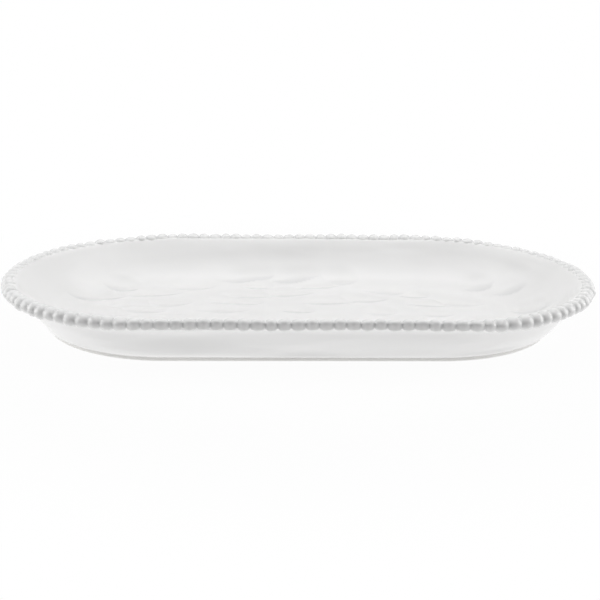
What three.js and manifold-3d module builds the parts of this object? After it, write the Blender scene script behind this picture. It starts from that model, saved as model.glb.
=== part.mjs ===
// Long oval serving dish in white glazed stoneware, with a border of beads round its rim.
// Millimetres, +Z up. The origin is on the table under the middle of the dish, and X runs along its length.
import * as THREE from "three";
import Module from "manifold-3d";

const wasm = await Module();
wasm.setup();

// Driving dimensions

// The whole dish, over the beads.
const OVERALL_LENGTH = 400;
const OVERALL_WIDTH = 228;
const OVERALL_HEIGHT = 36.5;

// The border: a bead's width across the rim and its height, the spacing aimed at along the rim, the
// depth of the groove between two beads, and the number of strips that the border is pressed in.
const BEAD_WIDTH = 10.4;
const BEAD_HEIGHT = 7.8;
const BEAD_PITCH = 8.2;
const GROOVE_DEPTH = 1.5;
const STRIP_COUNT = 18;

// The lip that carries the border: its edge stands this far inside the bead line, and its level top this
// far above the middle of the beads.
const LIP_SET_BACK = 1;
const LIP_RISE = 0.9;
const LIP_WIDTH = 2.4;
const LIP_THICKNESS = 4.7;

// How the wall bends out into the lip: run and fall of the flare under the lip, and of the rounded
// shoulder inside it.
const FLARE_RUN = 6.5;
const FLARE_FALL = 2.4;
const SHOULDER_RUN = 7;
const SHOULDER_FALL = 4.2;

// The shell: its floor, its wall half-way up, and how far inside the bead line the floor is level.
const FLOOR_THICKNESS = 4.7;
const WALL_THICKNESS = 6.5;
const LEVEL_INSET = 47;

// The foot ring under the floor: its outer face inside the bead line, its section, how deep it is let
// into the floor, and the rounded heel of the wall just outside it.
const FOOT_INSET = 25;
const FOOT_WIDTH = 7;
const FOOT_HEIGHT = 3.2;
const FOOT_TENON = 1;
const FOOT_EDGE = 2;
const HEEL_LAND = 0.8;
const HEEL_ROUND = 4;

// The layer of slip between two luted pieces.
const SLIP_GAP = 0.3;

// Facets: steps round a half-circle end, along a curve of the section, and along and round a bead.
const END_STEPS = 32;
const SECTION_STEPS = 10;
const BEAD_STEPS = 4;
const BEAD_SIDES = 8;

// Worked out from the driving dimensions

const END_RADIUS = (OVERALL_WIDTH - BEAD_WIDTH) / 2;
const HALF_STRAIGHT = (OVERALL_LENGTH - OVERALL_WIDTH) / 2;
const BEAD_LINE_Z = OVERALL_HEIGHT - BEAD_HEIGHT / 2;

// The plan of the dish at a distance inside the bead line: two half circles joined by straight sides,
// anticlockwise from the middle of the near side.
function planAt(inset) {
  const radius = END_RADIUS - inset;
  return new THREE.Path()
    .moveTo(0, -radius)
    .absarc(HALF_STRAIGHT, 0, radius, -Math.PI / 2, Math.PI / 2)
    .absarc(-HALF_STRAIGHT, 0, radius, Math.PI / 2, 1.5 * Math.PI)
    .closePath();
}

// One ring of points round that plan, for a point of the section: x is the inset and y the height.
function ringAt(sectionPoint) {
  const plan = planAt(sectionPoint.x).getPoints(END_STEPS / 2);
  plan.pop(); // the last point is the first one again
  return plan.map((p) => new THREE.Vector3(p.x, p.y, sectionPoint.y));
}

// A closed skin over rings of equal length. Each ring runs anticlockwise about the outward normal of the
// first one's cap. Without caps the last ring joins the first, which makes a hoop.
function skin(rings, capped) {
  const count = rings[0].length;
  const index = [];
  const bands = capped ? rings.length - 1 : rings.length;
  for (let band = 0; band < bands; band++) {
    const near = band * count;
    const far = ((band + 1) % rings.length) * count;
    for (let i = 0; i < count; i++) {
      const next = (i + 1) % count;
      index.push(near + i, far + i, far + next, near + i, far + next, near + next);
    }
  }
  if (capped) {
    const last = (rings.length - 1) * count;
    for (let i = 1; i < count - 1; i++) {
      index.push(0, i, i + 1, last, last + i + 1, last + i);
    }
  }
  return new THREE.BufferGeometry().setFromPoints(rings.flat()).setIndex(index);
}

// Solids for cutting, and back to geometry

function toSolid(geometry) {
  const vertProperties = geometry.attributes.position.array;
  const triVerts = new Uint32Array(geometry.index.array);
  return new wasm.Manifold(new wasm.Mesh({ numProp: 3, vertProperties, triVerts }));
}

function toGeometry(solid) {
  const { vertProperties, triVerts } = solid.getMesh();
  return new THREE.BufferGeometry()
    .setAttribute("position", new THREE.BufferAttribute(vertProperties, 3))
    .setIndex(new THREE.BufferAttribute(triVerts, 1));
}

function piece(name, geometry, material) {
  geometry.computeVertexNormals();
  const mesh = new THREE.Mesh(geometry, material);
  mesh.name = name;
  return mesh;
}

const point = (inset, height) => new THREE.Vector2(inset, height);

// How far along a rising curve it reaches a height, from 0 to 1.
function shareAtHeight(curve, height) {
  let below = 0;
  let above = 1;
  while (above - below > 1e-9) {
    const share = (below + above) / 2;
    if (curve.getPoint(share).y < height) below = share;
    else above = share;
  }
  return below;
}

// The shell, with its underside at height 0: floor, swept wall and lip inside, flared wall and heel
// outside, and the groove underneath that seats the foot ring.
function dishBody() {
  const lipTop = BEAD_LINE_Z + LIP_RISE - FOOT_HEIGHT;
  const lipInner = point(LIP_SET_BACK + LIP_WIDTH, lipTop);
  const lipOuter = point(LIP_SET_BACK, lipTop - LIP_THICKNESS);

  const heel = point(FOOT_INSET - HEEL_LAND, 0);
  const heelPull = point(heel.x - HEEL_ROUND, 0);
  const flarePull = point(lipOuter.x + FLARE_RUN, lipOuter.y - FLARE_FALL);
  const outside = new THREE.CubicBezierCurve(lipOuter, flarePull, heelPull, heel);

  // The inner face leaves the floor level, bends up the wall and over the shoulder. Half-way up the
  // outer face it passes one wall thickness inside it.
  const levelEdge = point(LEVEL_INSET, FLOOR_THICKNESS);
  const floorPull = point(LEVEL_INSET, FLOOR_THICKNESS);
  const shoulderPull = point(lipInner.x + SHOULDER_RUN, lipInner.y - SHOULDER_FALL);
  const inside = new THREE.CubicBezierCurve(levelEdge, floorPull, shoulderPull, lipInner);
  const down = outside.getTangent(0.5);
  const halfWay = outside.getPoint(0.5).add(point(-down.y, down.x).multiplyScalar(WALL_THICKNESS));
  const share = shareAtHeight(inside, halfWay.y);
  const pullWeight = 3 * share * (1 - share) ** 2;
  floorPull.x += (halfWay.x - inside.getPoint(share).x) / pullWeight;

  const seatOuter = FOOT_INSET - SLIP_GAP;
  const seatInner = FOOT_INSET + FOOT_WIDTH + SLIP_GAP;
  const seatDepth = FOOT_TENON + SLIP_GAP;
  const section = [
    ...inside.getPoints(SECTION_STEPS),
    point(LIP_SET_BACK, lipTop),
    ...outside.getPoints(SECTION_STEPS),
    point(seatOuter, 0),
    point(seatOuter, seatDepth),
    point(seatInner, seatDepth),
    point(seatInner, 0),
  ];
  return skin(section.map(ringAt), true);
}

// The ring that the dish stands on, with its lower edges taken off and its top let into the floor.
function footRing() {
  const outer = FOOT_INSET;
  const inner = FOOT_INSET + FOOT_WIDTH;
  const top = FOOT_HEIGHT + FOOT_TENON;
  const section = [
    point(inner, top),
    point(outer, top),
    point(outer, FOOT_EDGE),
    point(outer + FOOT_EDGE, 0),
    point(inner - FOOT_EDGE, 0),
    point(inner, FOOT_EDGE),
  ];
  return skin(section.map(ringAt), false);
}

// The bead line and how the beads share it out.
const beadLine = planAt(0);
const beadLineLength = beadLine.getLength();
const stripLength = beadLineLength / STRIP_COUNT;
const beadsPerStrip = Math.max(1, Math.round(stripLength / BEAD_PITCH));

// Share of a bead's full size at a place along it, from -1 at one groove to 1 at the next.
function beadSizeAt(place) {
  const grooveSize = 1 - GROOVE_DEPTH / (BEAD_HEIGHT / 2);
  return Math.sqrt(1 - (1 - grooveSize ** 2) * place ** 2);
}

// One oval section of the border, square to the bead line at a distance along it.
function beadSection(distance, size) {
  const share = distance / beadLineLength;
  const centre = beadLine.getPoint(share);
  const along = beadLine.getTangent(share);
  const outward = new THREE.Vector2(along.y, -along.x);
  return Array.from({ length: BEAD_SIDES }, (_, side) => {
    const angle = (2 * Math.PI * side) / BEAD_SIDES;
    const reach = centre.clone().addScaledVector(outward, (size * BEAD_WIDTH * Math.cos(angle)) / 2);
    return new THREE.Vector3(reach.x, reach.y, (size * BEAD_HEIGHT * Math.sin(angle)) / 2);
  });
}

// What a strip leaves free for the lip and its layer of slip, with the bead line at height 0.
function lipRoom() {
  const inset = LIP_SET_BACK - SLIP_GAP;
  const ceiling = LIP_RISE + SLIP_GAP;
  return toSolid(skin([ringAt(point(inset, ceiling)), ringAt(point(inset, -BEAD_HEIGHT))], true));
}

// One strip of beads, a slip joint short of its neighbours, notched to sit over the lip's edge.
function beadStrip(number, room) {
  const start = number * stripLength + SLIP_GAP / 2;
  const span = stripLength - SLIP_GAP;
  const stations = beadsPerStrip * BEAD_STEPS;
  const rings = [];
  for (let station = 0; station <= stations; station++) {
    const place = (2 * (station % BEAD_STEPS)) / BEAD_STEPS - 1;
    rings.push(beadSection(start + (span * station) / stations, beadSizeAt(place)));
  }
  return toGeometry(toSolid(skin(rings, true)).subtract(room));
}

// The assembly

const glaze = new THREE.MeshStandardMaterial({ color: 0xf3f3f0, roughness: 0.18, metalness: 0 });
const bareClay = new THREE.MeshStandardMaterial({ color: 0xe9e4d9, roughness: 0.85, metalness: 0 });

const dish = new THREE.Group();

const shell = piece("dish_body", dishBody(), glaze);
shell.position.z = FOOT_HEIGHT;
dish.add(shell);

dish.add(piece("foot_ring", footRing(), bareClay));

const border = new THREE.Group();
border.position.z = BEAD_LINE_Z;
const room = lipRoom();
for (let number = 0; number < STRIP_COUNT; number++) {
  const name = `bead_strip_${String(number + 1).padStart(2, "0")}`;
  border.add(piece(name, beadStrip(number, room), glaze));
}
dish.add(border);

export default dish;
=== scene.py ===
import math
import random

import bmesh
import bpy
from mathutils import Matrix, Vector, kdtree, noise


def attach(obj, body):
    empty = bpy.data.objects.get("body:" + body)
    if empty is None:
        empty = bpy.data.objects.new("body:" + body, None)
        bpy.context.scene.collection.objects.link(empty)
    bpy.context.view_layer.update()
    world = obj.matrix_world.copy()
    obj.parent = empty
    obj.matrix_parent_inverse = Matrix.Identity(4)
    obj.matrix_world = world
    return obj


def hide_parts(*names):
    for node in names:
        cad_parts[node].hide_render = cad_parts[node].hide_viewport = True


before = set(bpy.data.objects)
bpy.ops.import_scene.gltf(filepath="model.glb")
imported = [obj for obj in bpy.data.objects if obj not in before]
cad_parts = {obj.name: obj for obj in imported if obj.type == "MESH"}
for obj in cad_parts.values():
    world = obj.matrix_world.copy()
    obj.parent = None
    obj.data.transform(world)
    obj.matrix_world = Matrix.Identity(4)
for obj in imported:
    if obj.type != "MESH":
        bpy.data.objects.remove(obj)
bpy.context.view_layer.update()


# The shell of the dish: floor, flared wall and lip in one skin of white stoneware.
# It is pressed over a mould and finished by hand, which leaves shallow dents in the well
# and an uneven wall, then glazed white all over.

END_RADIUS = 0.1088  # of the bead line, round each end
HALF_SIDE = 0.086  # half the straight part of a side
FLOOR_TOP = 0.0079
FLOOR_UNDER = 0.0032
LEVEL_EDGE = 0.047  # where the floor begins to rise; insets are measured inwards from the bead line
SWEEP_PULL = 0.0205  # draws the floor out level before it bends up into the wall
LIP_INNER = 0.0034
LIP_OUTER = 0.001
LIP_TOP = 0.0335
LIP_THICKNESS = 0.0047
LIP_UNDER = LIP_TOP - LIP_THICKNESS
LIP_ROUND = 0.001
SHOULDER_RUN = 0.007  # run and fall of the rounded shoulder inside the lip
SHOULDER_FALL = 0.0042
FLARE_RUN = 0.0065  # run and fall of the flare under the lip
FLARE_FALL = 0.0024
HEEL = 0.0242
HEEL_ROUND = 0.004
UNDER_STEP = 0.003  # from the heel to the next ring of points under the floor
RIM_SWAY = 0.0006
SWAYS_ALONG = 17  # per metre
SWAY_RUN = 2.5  # picks one run of the noise
TOUCHING = 1e-6  # points closer than this are one


def bent(pulls, steps):
    """Points of a smooth curve from the first pull to the last, drawn towards those between."""
    curve = []
    for step in range(steps + 1):
        points = pulls
        while len(points) > 1:
            points = [Vector(a).lerp(Vector(b), step / steps) for a, b in zip(points, points[1:])]
        curve.append(tuple(points[0]))
    return curve


def drawn_round(section, closed, end_steps, side_steps):
    """A section of (inset, height) points swept round the dish.

    It is spun round the right-hand end, drawn along both sides to the middle, and mirrored.
    """
    bm = bmesh.new()
    chain = [bm.verts.new((HALF_SIDE, inset - END_RADIUS, height)) for inset, height in section]
    pairs = list(zip(chain, chain[1:])) + ([(chain[-1], chain[0])] if closed else [])
    near_row = [bm.edges.new(pair) for pair in pairs]
    spun = bmesh.ops.spin(
        bm, geom=chain + near_row, cent=(HALF_SIDE, 0, 0), axis=(0, 0, 1), angle=math.pi, steps=end_steps
    )
    far_row = [part for part in spun["geom_last"] if isinstance(part, bmesh.types.BMEdge)]
    for row in (near_row, far_row):
        for _ in range(side_steps):
            grown = bmesh.ops.extrude_edge_only(bm, edges=row)["geom"]
            tips = {part for part in grown if isinstance(part, bmesh.types.BMVert)}
            bmesh.ops.translate(bm, verts=list(tips), vec=(-HALF_SIDE / side_steps, 0, 0))
            row = [
                part for part in grown
                if isinstance(part, bmesh.types.BMEdge) and part.verts[0] in tips and part.verts[1] in tips
            ]
    bmesh.ops.mirror(bm, geom=bm.verts[:] + bm.edges[:] + bm.faces[:], axis="X", merge_dist=TOUCHING)
    bmesh.ops.remove_doubles(bm, verts=bm.verts, dist=TOUCHING)
    bmesh.ops.recalc_face_normals(bm, faces=bm.faces)
    bm.normal_update()
    return bm


def inset_of(x, y):
    """How far a place lies inside the bead line."""
    return END_RADIUS - math.hypot(max(abs(x) - HALF_SIDE, 0), y)


def ramp(value, low, high):
    """0 below low and 1 above high, with a soft change between."""
    t = min(max((value - low) / (high - low), 0), 1)
    return t * t * (3 - 2 * t)


def rim_sway(x, y):
    """How far the hand-trimmed rim rises or dips at a place."""
    return RIM_SWAY * noise.noise((x * SWAYS_ALONG, y * SWAYS_ALONG, SWAY_RUN))


def as_object(name, bm):
    """The mesh as an object of the scene."""
    mesh = bpy.data.meshes.new(name)
    bm.to_mesh(mesh)
    bm.free()
    thing = bpy.data.objects.new(name, mesh)
    bpy.context.scene.collection.objects.link(thing)
    return thing


inner_face = bent(
    [
        (LEVEL_EDGE, FLOOR_TOP),
        (SWEEP_PULL, FLOOR_TOP),
        (LIP_INNER + SHOULDER_RUN, LIP_TOP - SHOULDER_FALL),
        (LIP_INNER, LIP_TOP),
    ],
    steps=40,
)
lip_edge = bent(
    [(LIP_OUTER + LIP_ROUND, LIP_TOP), (LIP_OUTER, LIP_TOP), (LIP_OUTER, LIP_TOP - LIP_ROUND)],
    steps=3,
)
outer_face = bent(
    [
        (LIP_OUTER, LIP_UNDER),
        (LIP_OUTER + FLARE_RUN, LIP_UNDER - FLARE_FALL),
        (HEEL - HEEL_ROUND, FLOOR_UNDER),
        (HEEL, FLOOR_UNDER),
    ],
    steps=20,
)
shell_section = (
    bent([(END_RADIUS, FLOOR_TOP), (LEVEL_EDGE, FLOOR_TOP)], steps=76)[:-1]
    + inner_face
    + lip_edge
    + outer_face
    + bent([(HEEL + UNDER_STEP, FLOOR_UNDER), (END_RADIUS, FLOOR_UNDER)], steps=6)
)
shell = drawn_round(shell_section, False, end_steps=140, side_steps=72)

# Thumb dents all over the floor, in loose rows: oval hollows with a steep near side and a gentle far one.
DENT_SPACING = 0.05
ROW_SPACING = 0.4  # as a share of the spacing along a row
DENT_RANGE = range(-5, 6)  # rows and columns, counted from the middle
OUTERMOST_DENT = 0.025  # inset of the middle of a dent
DENTS_MEETING = 6  # at one place
STEEP_POWER = 1.8  # of the near side: a higher power has a flatter bottom and a steeper edge
STEEP_FACING = 0.7  # a side that lies this far towards the near one is fully steep
dent_hand = random.Random(41)
dent_places = []
dent_shapes = []
for row in DENT_RANGE:
    for column in DENT_RANGE:
        x = (column + 0.5 * (row % 2) + dent_hand.uniform(-0.4, 0.4)) * DENT_SPACING
        y = (row + dent_hand.uniform(-0.35, 0.35)) * DENT_SPACING * ROW_SPACING
        length = dent_hand.uniform(0.012, 0.026)
        turn = dent_hand.uniform(-0.25, 0.25)
        near = dent_hand.uniform(0.009, 0.015)
        far = dent_hand.uniform(0.011, 0.018)
        depth = near * dent_hand.uniform(0.08, 0.145)
        if inset_of(x, y) > OUTERMOST_DENT:
            dent_places.append((x, y, 0))
            dent_shapes.append((length, near, far, turn, depth))
dent_tree = kdtree.KDTree(len(dent_places))
for number, place in enumerate(dent_places):
    dent_tree.insert(place, number)
dent_tree.balance()


def dent_at(x, y):
    """How deep the dents are at a place on the floor."""
    deepest = 0
    for centre, number, _ in dent_tree.find_n((x, y, 0), DENTS_MEETING):
        length, near, far, turn, depth = dent_shapes[number]
        across = Matrix.Rotation(-turn, 2) @ Vector((x - centre.x, y - centre.y))
        away = Vector((across.x / length, across.y / (far if across.y > 0 else near)))
        reach = away.length
        if reach < 1:
            steep = 1 - reach ** STEEP_POWER
            gentle = (1 - reach * reach) ** 2
            far_share = ramp(away.y, -STEEP_FACING * reach - TOUCHING, 0)
            deepest = max(deepest, depth * (steep + (gentle - steep) * far_share))
    return deepest


# The hand's work on the skin: a lumpy wall, a smoother well, the dents and a rim that sways.
# Painted shade greys the steep near sides of the dents, which face towards the back.
WALL_LUMPS = 0.0014
WELL_LUMPS = 0.0005
FINE_LUMPS = 0.0002
RIPPLE_SHARE = 0.2  # height of a ripple, as a share of a lump
LUMPS_ALONG = 14  # per metre along the dish and across it
LUMPS_UP = 70
FINE_LUMPS_ALONG = 60
RIPPLES_ALONG = 40
RIPPLES_UP = 220
LUMPS_START = 0.0034  # heights between which the lumps grow
LUMPS_FULL = 0.0065
DENTS_END = 0.016  # insets between which the dents fade out
DENTS_FULL = 0.028
SWAY_START = 0.008  # height from which the sway grows up to the lip
WELL_FACING = 0.2  # the normals of the well point up by more than this
# The painted shade is full on a near side of a dent that is this steep.
FULL_SHADE_SLOPE = 0.2  # slope of a side that holds the most glaze
SLOPE_STEP = 0.0004  # the slope is measured this far to each side
shell_painted_shade = shell.verts.layers.float.new("painted_shade")
moves = {}
for vert in shell.verts:
    x, y, z = vert.co
    inset = inset_of(x, y)
    swell = WALL_LUMPS if vert.normal.z < 0 else WELL_LUMPS
    lumps = swell * noise.noise((x * LUMPS_ALONG, y * LUMPS_ALONG, z * LUMPS_UP))
    lumps += FINE_LUMPS * noise.noise(vert.co * FINE_LUMPS_ALONG)
    ripple = noise.noise((x * RIPPLES_ALONG, y * RIPPLES_ALONG, z * RIPPLES_UP))
    lumps += RIPPLE_SHARE * swell * ripple
    move = vert.normal * lumps * ramp(z, LUMPS_START, LUMPS_FULL)
    if vert.normal.z > WELL_FACING and inset > DENTS_END:
        fade = ramp(inset, DENTS_END, DENTS_FULL)
        move.z -= dent_at(x, y) * fade
        # Painted shade, greyer on the near sides of the dents, where they deepen towards the back.
        deepening = dent_at(x, y + SLOPE_STEP) - dent_at(x, y - SLOPE_STEP)
        vert[shell_painted_shade] = max(deepening, 0) / (2 * SLOPE_STEP) * fade / FULL_SHADE_SLOPE
    move.z += rim_sway(x, y) * ramp(z, SWAY_START, LIP_TOP)
    moves[vert] = move
for vert, move in moves.items():
    vert.co += move
dish_shell = as_object("dish_shell", shell)
dish_shell.data.shade_smooth()
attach(dish_shell, "root")
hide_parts("dish_body")


def noise_on(tree, scale, detail):
    """A noise pattern on the piece's own coordinates."""
    place = tree.nodes.new("ShaderNodeTexCoord").outputs["Object"]
    pattern = tree.nodes.new("ShaderNodeTexNoise")
    pattern.inputs["Scale"].default_value = scale
    pattern.inputs["Detail"].default_value = detail
    tree.links.new(place, pattern.inputs["Vector"])
    return pattern.outputs["Fac"]


def ranged(tree, value, low, high):
    """A value from 0 to 1, spread from low to high."""
    spread = tree.nodes.new("ShaderNodeMapRange")
    spread.inputs["To Min"].default_value = low
    spread.inputs["To Max"].default_value = high
    tree.links.new(value, spread.inputs["Value"])
    return spread.outputs["Result"]


def tint_between(tree, share, first, second):
    """A colour that goes from the first to the second with the share."""
    tint = tree.nodes.new("ShaderNodeMix")
    tint.data_type = "RGBA"
    tint.inputs["A"].default_value = first
    tint.inputs["B"].default_value = second
    tree.links.new(share, tint.inputs["Factor"])
    return tint.outputs["Result"]


def bump_from(tree, height, strength, distance):
    """The surface direction with a fine relief on it."""
    bump = tree.nodes.new("ShaderNodeBump")
    bump.inputs["Strength"].default_value = strength
    bump.inputs["Distance"].default_value = distance
    tree.links.new(height, bump.inputs["Height"])
    return bump.outputs["Normal"]


# White glaze: a soft sheen and a little mottled, with painted shade that greys the steep near sides
# of the dents and the grooves between the beads.
GLAZE_WHITE = (0.893, 0.891, 0.887, 1)
# The grey of the painted shade.
PAINTED_SHADE_GREY = (0.77, 0.772, 0.773, 1)
glaze = bpy.data.materials.new("white_glaze")
glaze.use_nodes = True
tree = glaze.node_tree
glaze_shader = tree.nodes["Principled BSDF"]
glaze_shader.inputs["IOR"].default_value = 1.5
# The glaze colour is mixed towards grey by the painted shade on the dents and in the grooves.
painted_shade_depth = tree.nodes.new("ShaderNodeAttribute")
painted_shade_depth.attribute_name = "painted_shade"
painted_shade_tint = tint_between(tree, painted_shade_depth.outputs["Fac"], GLAZE_WHITE, PAINTED_SHADE_GREY)
mottle = noise_on(tree, scale=28, detail=3)
mottled = tree.nodes.new("ShaderNodeVectorMath")
mottled.operation = "SCALE"
tree.links.new(painted_shade_tint, mottled.inputs["Vector"])
tree.links.new(ranged(tree, mottle, low=0.975, high=1.02), mottled.inputs["Scale"])
tree.links.new(mottled.outputs["Vector"], glaze_shader.inputs["Base Color"])
tree.links.new(ranged(tree, mottle, low=0.2, high=0.28), glaze_shader.inputs["Roughness"])
orange_peel = noise_on(tree, scale=320, detail=2)
peel_relief = bump_from(tree, orange_peel, strength=0.06, distance=0.0003)
tree.links.new(peel_relief, glaze_shader.inputs["Normal"])
dish_shell.data.materials.append(glaze)


# The foot ring: a low band of the same clay, luted under the floor just inside the heel.
# Its edges are rounded with a sponge and it is wiped clean of glaze, so it stays matt.

FOOT_OUTER = 0.025
FOOT_INNER = 0.032
FOOT_TOP = 0.0042
FOOT_ROUND = 0.002
foot_section = (
    [(FOOT_INNER, FOOT_TOP), (FOOT_OUTER, FOOT_TOP)]
    + bent([(FOOT_OUTER, FOOT_ROUND), (FOOT_OUTER, 0), (FOOT_OUTER + FOOT_ROUND, 0)], steps=6)
    + bent([(FOOT_INNER - FOOT_ROUND, 0), (FOOT_INNER, 0), (FOOT_INNER, FOOT_ROUND)], steps=6)
)
foot_band = as_object("foot_band", drawn_round(foot_section, True, end_steps=96, side_steps=20))
foot_band.data.shade_smooth()
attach(foot_band, "root")
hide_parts("foot_ring")

# Bare fired clay: matt, pale, with fine grit.
CLAY_GREY = (0.82, 0.812, 0.79, 1)
CLAY_PALE = (0.89, 0.884, 0.865, 1)
clay = bpy.data.materials.new("bare_clay")
clay.use_nodes = True
tree = clay.node_tree
clay_shader = tree.nodes["Principled BSDF"]
clay_shader.inputs["Roughness"].default_value = 0.85
grit = noise_on(tree, scale=900, detail=4)
tree.links.new(tint_between(tree, grit, CLAY_GREY, CLAY_PALE), clay_shader.inputs["Base Color"])
grit_relief = bump_from(tree, grit, strength=0.35, distance=0.0002)
tree.links.new(grit_relief, clay_shader.inputs["Normal"])
foot_band.data.materials.append(clay)


# The border: beads of clay pressed side by side round the lip, no two quite alike, and run
# together by the glaze, which fills the bottom of the grooves between them. Round the ends of
# the dish the beads are larger and rounder and lean outwards.

BEADS = 126
BEAD_STEPS = 12
BEAD_SIDES = 20
BEAD_TOP = 0.0361  # above the table, along the sides
END_DROP = 0.0004  # how much lower the tops of the beads are round the ends
BEAD_EDGE = 0.0052  # how far the beads stand out over the bead line
BEAD_REACH = 0.005  # half a bead's width across the rim, round the ends
BEAD_RISE = 0.0043  # half its height there
SIDE_SHARE = 0.85  # size of the beads along the sides, as a share of those round the ends
BEND_START = 0.09  # distances along the dish from its middle, between which the beads change
BEND_FULL = 0.125
END_DROOP = 0.62  # angle in radians by which the beads round the ends lean down over the rim
SIDE_GROOVE = 0.5  # size left at the bottom of a groove, as a share of the bead
END_GROOVE = 0.65
SIDE_POWER = 0.58  # outer half of a bead's section: 1 is oval, and less is squarer
END_POWER = 0.9
INNER_POWER = 1.1  # its inner half
border_length = 4 * HALF_SIDE + 2 * math.pi * END_RADIUS
bead_hand = random.Random(7)
bead_ends = [number + bead_hand.uniform(-0.09, 0.09) for number in range(BEADS)]
bead_sizes = [bead_hand.uniform(0.94, 1.04) for _ in range(BEADS)]
bead_lifts = [bead_hand.uniform(-0.0003, 0.0003) for _ in range(BEADS)]
bead_leans = [bead_hand.uniform(-0.00025, 0.0002) for _ in range(BEADS)]


def on_border(distance):
    """The place on the bead line at a distance from the middle of the near side, and the way out there."""
    half_border = border_length / 2
    half, distance = divmod(distance, half_border)
    angle = min(max((distance - HALF_SIDE) / END_RADIUS, 0), math.pi) - math.pi / 2
    out = Vector((math.cos(angle), math.sin(angle), 0))
    centre = Vector((min(distance, HALF_SIDE, half_border - distance), 0, 0)) + out * END_RADIUS
    return (-centre, -out) if half % 2 else (centre, out)


def between(values, number, place):
    """A bead's own value in its middle, and half-way to its neighbour's at its grooves."""
    own = values[number % BEADS]
    neighbour = values[(number + (1 if place > 0 else -1)) % BEADS]
    return own + (neighbour - own) * 0.5 * place * place


def blend(side, end, share):
    """A value that goes from that along the sides to that round the ends."""
    return side + (end - side) * share


def plump(value, power):
    """A sine or cosine drawn outwards, so that a round section becomes squarer."""
    return math.copysign(abs(value) ** power, value)


border = bmesh.new()
bmesh.ops.create_grid(border, x_segments=BEADS * BEAD_STEPS, y_segments=BEAD_SIDES, size=0.5)
border_painted_shade = border.verts.layers.float.new("painted_shade")
for vert in border.verts:
    step = round((vert.co.x + 0.5) * BEADS * BEAD_STEPS)
    turn = 2 * math.pi * (vert.co.y + 0.5)
    number, part = divmod(step, BEAD_STEPS)
    start = bead_ends[number % BEADS] + number // BEADS * BEADS
    stop = bead_ends[(number + 1) % BEADS] + (number + 1) // BEADS * BEADS
    place = 2 * part / BEAD_STEPS - 1
    along = (start + (stop - start) * part / BEAD_STEPS) / BEADS * border_length
    centre, out = on_border(along)
    end_share = ramp(abs(centre.x), BEND_START, BEND_FULL)
    full = blend(SIDE_SHARE, 1, end_share)
    lean = Matrix.Rotation(-END_DROOP * end_share, 2)
    width = math.hypot(lean[0][0] * BEAD_REACH, lean[0][1] * BEAD_RISE)
    height = math.hypot(lean[1][0] * BEAD_REACH, lean[1][1] * BEAD_RISE)
    groove = blend(SIDE_GROOVE, END_GROOVE, end_share)
    size = between(bead_sizes, number, place) * math.sqrt(1 - (1 - groove * groove) * place * place)
    power = blend(SIDE_POWER, END_POWER, end_share) if math.cos(turn) > 0 else INNER_POWER
    section = Vector((BEAD_REACH * plump(math.cos(turn), power), BEAD_RISE * plump(math.sin(turn), power)))
    across = lean @ section * full * size
    sway = between(bead_lifts, number, place) + rim_sway(centre.x, centre.y)
    vert.co = centre + out * (BEAD_EDGE - full * width + between(bead_leans, number, place) + across.x)
    vert.co.z = BEAD_TOP - END_DROP * end_share - full * height + sway + across.y
    # Painted shade: the glaze colour greys towards the grooves between the beads, where shade falls.
    vert[border_painted_shade] = abs(place) ** 3  # glaze gathers towards the grooves
bmesh.ops.remove_doubles(border, verts=border.verts, dist=TOUCHING)
bmesh.ops.recalc_face_normals(border, faces=border.faces)
bead_border = as_object("bead_border", border)
bead_border.data.shade_smooth()
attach(bead_border, "root")
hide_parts(*(f"bead_strip_{number:02d}" for number in range(1, 19)))
bead_border.data.materials.append(glaze)


# The stage: a plain white table top that fades into the white background. Where it is seen it
# keeps the dish's soft shadow, and to all other rays it is an even white that lights the dish
# from below.

TABLE_RADIUS = 0.36
SHADOW_END = 0.2  # distances from the middle between which the table turns into background
BACKGROUND_START = 0.35
TABLE_GLOW = 0.95  # share of even white at the dish; the rest is lit and shadowed
TABLE_GREY = (0.88, 0.88, 0.88, 1)
table = bmesh.new()
bmesh.ops.create_circle(table, cap_ends=True, segments=96, radius=TABLE_RADIUS)
table_top = as_object("table_top", table)


def soft_step(tree, value, start, stop, low, high):
    """A value that goes softly from low to high between two places."""
    spread = tree.nodes.new("ShaderNodeMapRange")
    spread.interpolation_type = "SMOOTHSTEP"
    for name, setting in (("From Min", start), ("From Max", stop), ("To Min", low), ("To Max", high)):
        spread.inputs[name].default_value = setting
    tree.links.new(value, spread.inputs["Value"])
    return spread.outputs["Result"]


def largest(tree, first, *others):
    """The largest of several values."""
    for other in others:
        larger = tree.nodes.new("ShaderNodeMath")
        larger.operation = "MAXIMUM"
        tree.links.new(first, larger.inputs[0])
        tree.links.new(other, larger.inputs[1])
        first = larger.outputs[0]
    return first


table_white = bpy.data.materials.new("table_white")
table_white.use_nodes = True
tree = table_white.node_tree
tree.nodes.clear()
surface = tree.nodes.new("ShaderNodeOutputMaterial")
lit = tree.nodes.new("ShaderNodeBsdfDiffuse")
lit.inputs["Color"].default_value = TABLE_GREY
glow = tree.nodes.new("ShaderNodeEmission")
glow.inputs["Strength"].default_value = 1
ray = tree.nodes.new("ShaderNodeLightPath").outputs
seen = largest(tree, ray["Is Camera Ray"], ray["Is Glossy Ray"], ray["Is Transmission Ray"])
from_middle = tree.nodes.new("ShaderNodeVectorMath")
from_middle.operation = "LENGTH"
tree.links.new(tree.nodes.new("ShaderNodeTexCoord").outputs["Object"], from_middle.inputs[0])
seen_share = soft_step(tree, from_middle.outputs["Value"], SHADOW_END, BACKGROUND_START, TABLE_GLOW, 1)
glow_share = tree.nodes.new("ShaderNodeMix")
glow_share.inputs["A"].default_value = 1
tree.links.new(seen, glow_share.inputs["Factor"])
tree.links.new(seen_share, glow_share.inputs["B"])
mixed = tree.nodes.new("ShaderNodeMixShader")
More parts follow.
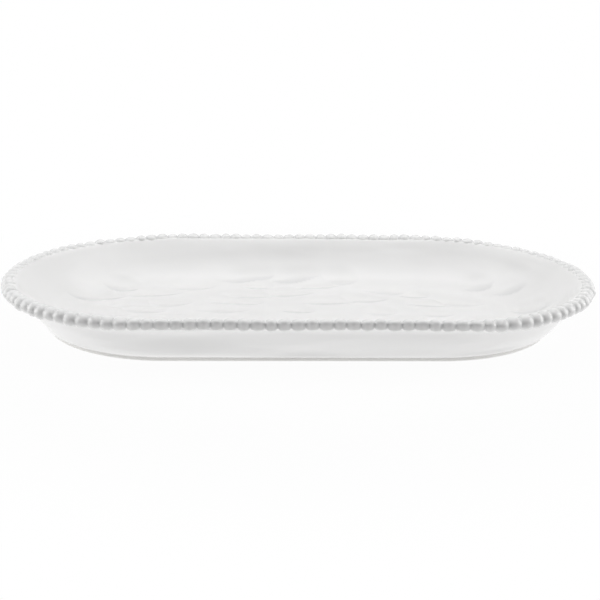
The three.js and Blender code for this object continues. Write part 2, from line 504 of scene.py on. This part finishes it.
tree.links.new(glow_share.outputs["Result"], mixed.inputs["Fac"])
tree.links.new(lit.outputs["BSDF"], mixed.inputs[1])
tree.links.new(glow.outputs["Emission"], mixed.inputs[2])
tree.links.new(mixed.outputs["Shader"], surface.inputs["Surface"])
table_top.data.materials.append(table_white)


# The light: three large soft boxes overhead, from in front of the dish to behind it, and one at
# each side. The room is dim, so the surfaces that face the camera are the darker ones.

def soft_box(name, place, aim, width, height, power):
    """A rectangular lamp that faces the place it is aimed at."""
    lamp = bpy.data.lights.new(name, "AREA")
    lamp.shape = "RECTANGLE"
    lamp.size, lamp.size_y = width, height
    lamp.energy = power
    box = bpy.data.objects.new(name, lamp)
    box.location = place
    box.rotation_euler = (Vector(aim) - Vector(place)).to_track_quat("-Z", "Y").to_euler()
    bpy.context.scene.collection.objects.link(box)


soft_box("near_box", (0, -0.45, 0.95), (0, 0, 0), width=1.3, height=0.5, power=2.53)
soft_box("overhead_box", (0, 0.05, 0.95), (0, 0.05, 0), width=1.3, height=0.5, power=3.24)
soft_box("far_box", (0, 0.55, 0.95), (0, 0.1, 0), width=1.3, height=0.5, power=3.33)
soft_box("left_box", (-1.0, 0.06, 0.35), (0, 0, 0.02), width=0.7, height=0.8, power=4.5)
soft_box("right_box", (1.0, 0.06, 0.35), (0, 0, 0.02), width=0.7, height=0.8, power=4.7)

# The room is white where it is seen, and in the glaze too, apart from its dim part behind the camera.
ROOM_LIGHT = 0.02
DIM_END = -0.7  # Y of the direction where the dim part ends
WHITE_START = -0.3  # Y of the direction from which the room is fully white
room = bpy.data.worlds.new("white_room")
bpy.context.scene.world = room
room.use_nodes = True
tree = room.node_tree
tree.nodes.clear()
surround = tree.nodes.new("ShaderNodeOutputWorld")
dim = tree.nodes.new("ShaderNodeBackground")
dim.inputs["Color"].default_value = (1, 1, 1, 1)
dim.inputs["Strength"].default_value = ROOM_LIGHT
bright = tree.nodes.new("ShaderNodeBackground")
bright.inputs["Color"].default_value = (1, 1, 1, 1)
facing = tree.nodes.new("ShaderNodeSeparateXYZ")
tree.links.new(tree.nodes.new("ShaderNodeTexCoord").outputs["Generated"], facing.inputs["Vector"])
ray = tree.nodes.new("ShaderNodeLightPath").outputs
mirrored = tree.nodes.new("ShaderNodeMath")
mirrored.operation = "MULTIPLY"
tree.links.new(ray["Is Glossy Ray"], mirrored.inputs[0])
tree.links.new(soft_step(tree, facing.outputs["Y"], DIM_END, WHITE_START, 0, 1), mirrored.inputs[1])
mixed = tree.nodes.new("ShaderNodeMixShader")
seen = largest(tree, ray["Is Camera Ray"], mirrored.outputs[0], ray["Is Transmission Ray"])
tree.links.new(seen, mixed.inputs["Fac"])
tree.links.new(dim.outputs["Background"], mixed.inputs[1])
tree.links.new(bright.outputs["Background"], mixed.inputs[2])
tree.links.new(mixed.outputs["Shader"], surround.inputs["Surface"])


# The camera stands low in front of the middle of the near side, a little to its left, and is
# rolled by less than a degree. The dish nearly fills the width of the picture.

VIEW_RISE = 0.2858  # angles in radians
VIEW_TURN = 0.0409
VIEW_ROLL = 0.0149
VIEW_DISTANCE = 0.8
AIM_RIGHT = 0.0006
AIM_HEIGHT = 0.0156
SENSOR_WIDTH = 36  # both in millimetres
LENS_LENGTH = 69.81
aim = Vector((AIM_RIGHT * math.cos(VIEW_TURN), -AIM_RIGHT * math.sin(VIEW_TURN), AIM_HEIGHT))
level_back = Vector((-math.sin(VIEW_TURN), -math.cos(VIEW_TURN), 0))
back = level_back * math.cos(VIEW_RISE) + Vector((0, 0, math.sin(VIEW_RISE)))
camera = bpy.data.objects.new("camera", bpy.data.cameras.new("camera"))
camera.data.sensor_width = SENSOR_WIDTH
camera.data.lens = LENS_LENGTH
camera.data.clip_start = 0.01
stand = Matrix.Translation(aim + back * VIEW_DISTANCE)
turned = (-back).to_track_quat("-Z", "Y").to_matrix().to_4x4()
camera.matrix_world = stand @ turned @ Matrix.Rotation(VIEW_ROLL, 4, "Z")
bpy.context.scene.collection.objects.link(camera)
bpy.context.scene.camera = camera
bpy.context.scene.view_settings.view_transform = "Standard"
